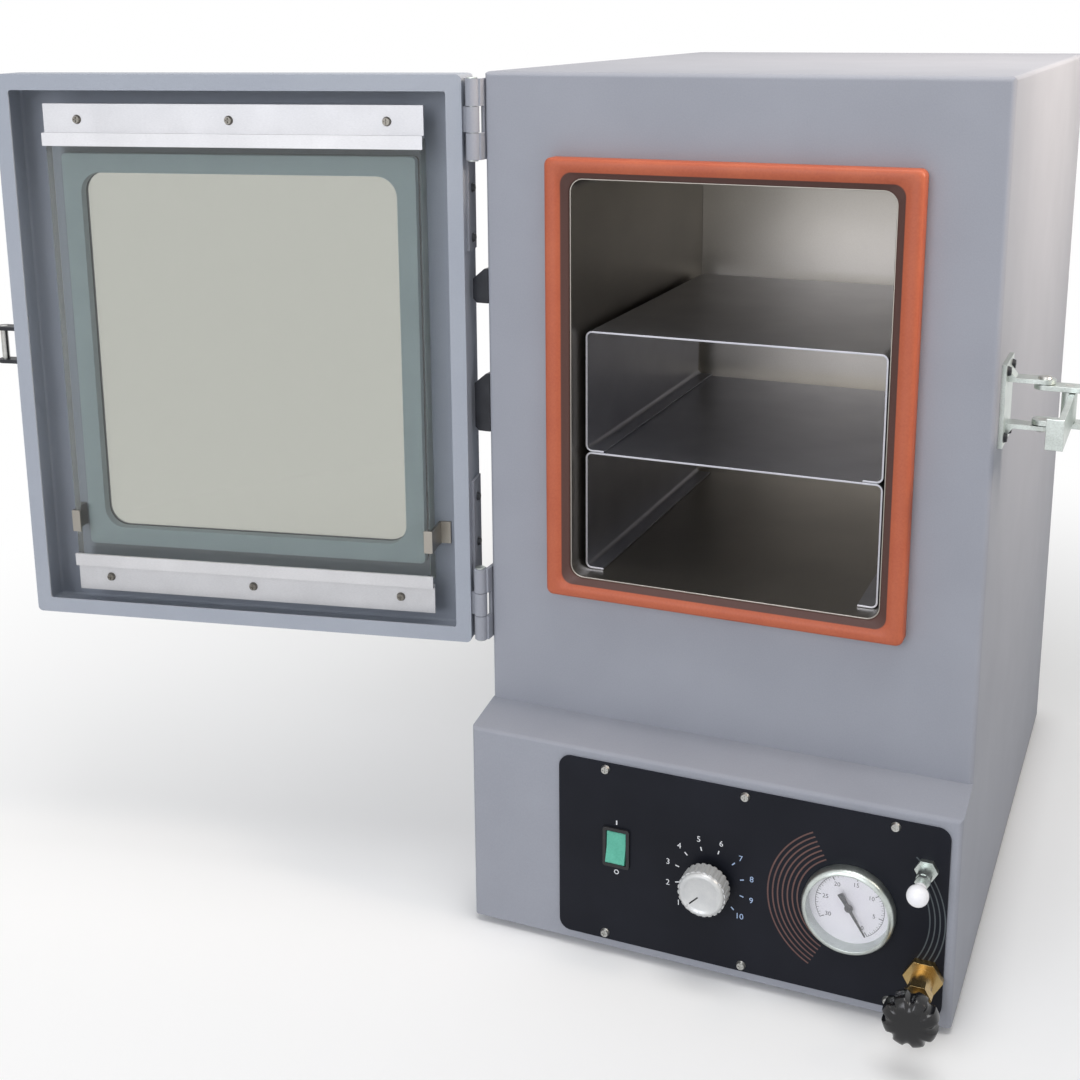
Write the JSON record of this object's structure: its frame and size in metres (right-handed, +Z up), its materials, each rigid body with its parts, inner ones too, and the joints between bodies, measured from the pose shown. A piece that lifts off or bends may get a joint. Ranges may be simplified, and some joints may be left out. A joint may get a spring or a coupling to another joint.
{
  "type": "benchtop vacuum oven",
  "caption": "Benchtop vacuum oven with a glazed side-hinged door, an over-centre side latch, bench shelves in its chamber, and a stepped base with gauge, thermostat, switch and valves.",
  "frame": {"origin": "centre of the four foot holes, on the bench plane", "axes": "+Z up, -Y towards the user (the door and control panel face -Y), +Y out of the back along the hose stub, +X to the user's right (latch side)"},
  "size_m": [0.8617, 0.6335, 0.66],
  "materials": {
    "cabinet_paint": "textured light grey powder coat",
    "zinc_steel": "zinc plated",
    "stainless": "brushed stainless steel",
    "dark_steel": "blackened",
    "aluminium": "satin",
    "red_silicone": "moulded silicone rubber",
    "grey_silicone": "silicone rubber sheet",
    "black_rubber": "matt",
    "panel_paint": "satin charcoal",
    "black_plastic": "moulded",
    "black_knob": "phenolic",
    "green_plastic": "moulded",
    "satin_knob": "satin, knurled edge",
    "white_plastic": "ball knob",
    "dial_white": "matt white",
    "needle_black": "matt black",
    "clear_lens": "polished",
    "plate_glass": "polished, green cast",
    "clear_plastic": "clear polycarbonate sheet",
    "brass": "machined",
    "copper": "drawn copper tube",
    "mineral_wool": "mineral wool"
  },
  "bodies": {
    "cabinet": {"cabinet_shell": "cabinet_paint", "rear_cover": "cabinet_paint", "base_housing": "cabinet_paint", "base_floor": "cabinet_paint", "base_rear_panel": "cabinet_paint", "rubber_feet": "black_rubber", "control_panel": "panel_paint", "panel_screws": "zinc_steel", "rear_screws": "zinc_steel", "chamber_liner": "stainless", "heater_pads": "grey_silicone", "insulation": "mineral_wool", "door_gasket": "red_silicone", "thermostat": "zinc_steel", "switch_body": "black_plastic", "gauge_case": "zinc_steel", "gauge_dial": "dial_white", "gauge_lens": "clear_lens", "vent_valve_body": "zinc_steel", "vacuum_valve_body": "brass", "vacuum_line": "copper", "pump_line": "copper", "vent_line": "copper", "sensor_line": "copper", "vacuum_port": "zinc_steel", "power_inlet": "black_plastic", "fuse_holder": "black_plastic", "cabinet_hinge_leaves": "cabinet_paint", "hinge_pins": "zinc_steel", "side_screws": "zinc_steel", "door_stops": "dark_steel", "latch_base": "zinc_steel", "latch_rivets": "zinc_steel"},
    "door": {"door_pan": "cabinet_paint", "door_hinge_leaves": "cabinet_paint", "door_hinge_screws": "dark_steel", "window_shield": "clear_plastic", "glass_pad": "grey_silicone", "door_glass": "plate_glass", "top_retainer": "aluminium", "bottom_retainer": "aluminium", "retainer_posts": "zinc_steel", "retainer_screws": "zinc_steel", "glass_clips": "zinc_steel", "door_strike": "dark_steel", "strike_pin": "zinc_steel"},
    "latch_lever": {"latch_lever": "zinc_steel", "hook_rivet": "zinc_steel"},
    "latch_hook": {"latch_hook": "zinc_steel"},
    "temperature_knob": {"temperature_knob": "satin_knob", "thermostat_shaft": "zinc_steel"},
    "power_rocker": {"power_rocker": "green_plastic"},
    "gauge_needle": {"gauge_needle": "needle_black"},
    "vent_knob": {"vent_knob": "white_plastic", "vent_stem": "zinc_steel"},
    "vacuum_knob": {"vacuum_knob": "black_knob", "vacuum_stem": "brass"},
    "lower_shelf": {"lower_shelf": "aluminium"},
    "upper_shelf": {"upper_shelf": "aluminium"}
  },
  "joints": [
    {"name": "door_hinge", "type": "hinge", "parent": "cabinet", "child": "door", "pos_m": [-0.1915, -0.236, 0.44], "axis": [0, 0, -1], "range_deg": [-168, 7]},
    {"name": "latch_lever_pivot", "type": "hinge", "parent": "cabinet", "child": "latch_lever", "pos_m": [0.211, -0.195, 0.443], "axis": [0, 0, 1], "range_deg": [-35, 100]},
    {"name": "latch_hook_pivot", "type": "hinge", "parent": "latch_lever", "child": "latch_hook", "pos_m": [0.227, -0.195, 0.443], "axis": [0, 0, 1], "range_deg": [-100, 35]},
    {"name": "temperature_knob_turn", "type": "hinge", "parent": "cabinet", "child": "temperature_knob", "pos_m": [0.008, -0.272, 0.081], "axis": [0, -1, 0], "range_deg": [-270, 0]},
    {"name": "power_rocker_tilt", "type": "hinge", "parent": "cabinet", "child": "power_rocker", "pos_m": [-0.0645, -0.27, 0.092], "axis": [1, 0, 0], "range_deg": [0, 18]},
    {"name": "gauge_needle_turn", "type": "hinge", "parent": "cabinet", "child": "gauge_needle", "pos_m": [0.111, -0.272, 0.085], "axis": [0, -1, 0], "range_deg": [0, 270]},
    {"name": "vent_knob_turn", "type": "hinge", "parent": "cabinet", "child": "vent_knob", "pos_m": [0.163, -0.272, 0.127], "axis": [0, -1, 0], "range_deg": [0, 360]},
    {"name": "vacuum_knob_turn", "type": "hinge", "parent": "cabinet", "child": "vacuum_knob", "pos_m": [0.165, -0.272, 0.045], "axis": [0, -1, 0], "range_deg": [0, 720]},
    {"name": "lower_shelf_slide", "type": "slide", "parent": "cabinet", "child": "lower_shelf", "axis": [0, -1, 0], "range_m": [0, 0.18]},
    {"name": "upper_shelf_slide", "type": "slide", "parent": "lower_shelf", "child": "upper_shelf", "axis": [0, -1, 0], "range_m": [0, 0.15]}
  ],
  "couplings": [
    {"joint": "latch_hook_pivot", "follows": "latch_lever_pivot", "ratio": -1}
  ]
}
